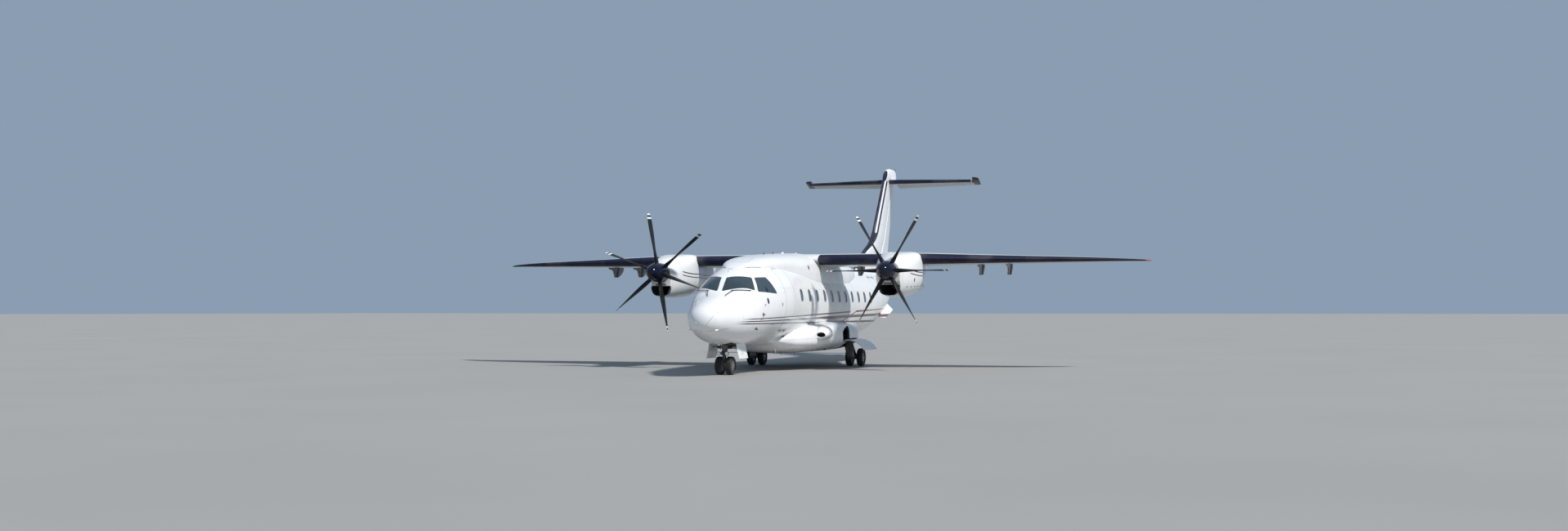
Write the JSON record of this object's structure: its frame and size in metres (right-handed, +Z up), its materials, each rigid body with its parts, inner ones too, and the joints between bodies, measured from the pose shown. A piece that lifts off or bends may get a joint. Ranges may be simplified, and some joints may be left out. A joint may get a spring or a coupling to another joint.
{
  "type": "turboprop airliner",
  "caption": "High-wing turboprop airliner with a T-tail, parked on its wheels, with turning propellers, wheels, doors and control surfaces.",
  "frame": {"origin": "middle of the bounding box, on the ground under the tyres", "axes": "+X to the aircraft's left, +Y aft along the fuselage, +Z up"},
  "size_m": [20.98, 21.28, 7.2375],
  "materials": {
    "white_paint": "gloss white paint",
    "white_composite": "gloss white paint on composite",
    "glass": "clear glazing",
    "navy_paint": "gloss navy paint",
    "black_composite": "satin black composite",
    "engine": "dull metal",
    "gear_metal": "satin paint on steel",
    "wheel_metal": "satin paint",
    "tyre": "matt rubber",
    "trim": "matt grey"
  },
  "bodies": {
    "airframe": {"radome": "white_composite", "nose_section": "white_paint", "forward_fuselage": "white_paint", "centre_fuselage": "white_paint", "rear_fuselage": "white_paint", "tail_cone": "white_composite", "flight_deck": "trim", "wing_fairing": "white_composite", "belly_fairing": "white_paint", "wing_centre": "white_paint", "fin": "white_composite", "tailplane": "white_composite", "fin_tip": "white_composite", "windscreen_left": "glass", "side_window_left": "glass", "sponson_left": "white_paint", "wing_outer_left": "white_paint", "nacelle_left": "white_paint", "engine_left": "engine", "strake_left": "white_composite", "nose_gear_door_left": "white_paint", "main_gear_door_left": "white_paint", "windscreen_right": "glass", "side_window_right": "glass", "sponson_right": "white_paint", "wing_outer_right": "white_paint", "nacelle_right": "white_paint", "engine_right": "engine", "strake_right": "white_composite", "nose_gear_door_right": "white_paint", "main_gear_door_right": "white_paint", "nose_leg_upper": "gear_metal", "main_leg_left": "gear_metal", "main_leg_right": "gear_metal"},
    "propeller_left": {"propeller_blades_left": "black_composite", "spinner_left": "navy_paint"},
    "propeller_right": {"propeller_blades_right": "black_composite", "spinner_right": "navy_paint"},
    "main_wheels_left": {"main_wheel_hubs_left": "wheel_metal", "main_tyre_inner_left": "tyre", "main_tyre_outer_left": "tyre"},
    "main_wheels_right": {"main_wheel_hubs_right": "wheel_metal", "main_tyre_inner_right": "tyre", "main_tyre_outer_right": "tyre"},
    "nose_steering": {"nose_leg_steered": "gear_metal"},
    "nose_wheels": {"nose_wheel_hubs": "wheel_metal", "nose_tyre_left": "tyre", "nose_tyre_right": "tyre"},
    "passenger_door": {"passenger_door": "white_paint"},
    "baggage_door": {"baggage_door": "white_paint"},
    "rudder": {"rudder": "white_composite"},
    "elevators": {"elevator_left": "white_composite", "elevator_right": "white_composite"},
    "aileron_left": {"aileron_left": "white_composite"},
    "aileron_right": {"aileron_right": "white_composite"},
    "flaps_left": {"flap_inner_left": "white_composite", "flap_outer_left": "white_composite"},
    "flaps_right": {"flap_inner_right": "white_composite", "flap_outer_right": "white_composite"}
  },
  "joints": [
    {"name": "propeller_left_spin", "type": "hinge", "parent": "airframe", "child": "propeller_left", "pos_m": [3.5, -5, 2.85], "axis": [0, 1, 0], "continuous": true},
    {"name": "propeller_right_spin", "type": "hinge", "parent": "airframe", "child": "propeller_right", "pos_m": [-3.5, -5, 2.85], "axis": [0, 1, 0], "continuous": true},
    {"name": "main_wheels_left_spin", "type": "hinge", "parent": "airframe", "child": "main_wheels_left", "pos_m": [1.61, -1.41, 0.275], "axis": [1, 0, 0], "continuous": true},
    {"name": "main_wheels_right_spin", "type": "hinge", "parent": "airframe", "child": "main_wheels_right", "pos_m": [-1.61, -1.41, 0.275], "axis": [1, 0, 0], "continuous": true},
    {"name": "nose_steering_turn", "type": "hinge", "parent": "airframe", "child": "nose_steering", "pos_m": [0, -8.885, 0.64], "axis": [0, 0, 1], "range_deg": [-60, 60]},
    {"name": "nose_wheels_spin", "type": "hinge", "parent": "nose_steering", "child": "nose_wheels", "pos_m": [0, -8.83, 0.247], "axis": [1, 0, 0], "continuous": true},
    {"name": "passenger_door_hinge", "type": "hinge", "parent": "airframe", "child": "passenger_door", "pos_m": [0.926, -6.73, 1.16], "axis": [0, 1, 0], "range_deg": [0, 125]},
    {"name": "baggage_door_hinge", "type": "hinge", "parent": "airframe", "child": "baggage_door", "pos_m": [0.793, 3.57, 2.862], "axis": [0, -1, 0], "range_deg": [0, 100]},
    {"name": "rudder_hinge", "type": "hinge", "parent": "airframe", "child": "rudder", "pos_m": [0, 8.62294, 4.8], "axis": [0, 0.5566, 0.8308], "range_deg": [-25, 25]},
    {"name": "elevators_hinge", "type": "hinge", "parent": "airframe", "child": "elevators", "pos_m": [0, 10.13, 6.605], "axis": [1, 0, 0], "range_deg": [-2, 45]},
    {"name": "aileron_left_hinge", "type": "hinge", "parent": "airframe", "child": "aileron_left", "pos_m": [8.8, -1.29, 3.19823], "axis": [1, 0, 0.0055], "range_deg": [-18, 22]},
    {"name": "aileron_right_hinge", "type": "hinge", "parent": "airframe", "child": "aileron_right", "pos_m": [-8.8, -1.29, 3.19823], "axis": [1, 0, -0.0055], "range_deg": [-18, 22]},
    {"name": "flaps_left_hinge", "type": "hinge", "parent": "airframe", "child": "flaps_left", "pos_m": [5, -1.47, 2.82], "axis": [-1, 0, 0], "range_deg": [0, 32]},
    {"name": "flaps_right_hinge", "type": "hinge", "parent": "airframe", "child": "flaps_right", "pos_m": [-5, -1.47, 2.82], "axis": [-1, 0, 0], "range_deg": [0, 32]}
  ]
}
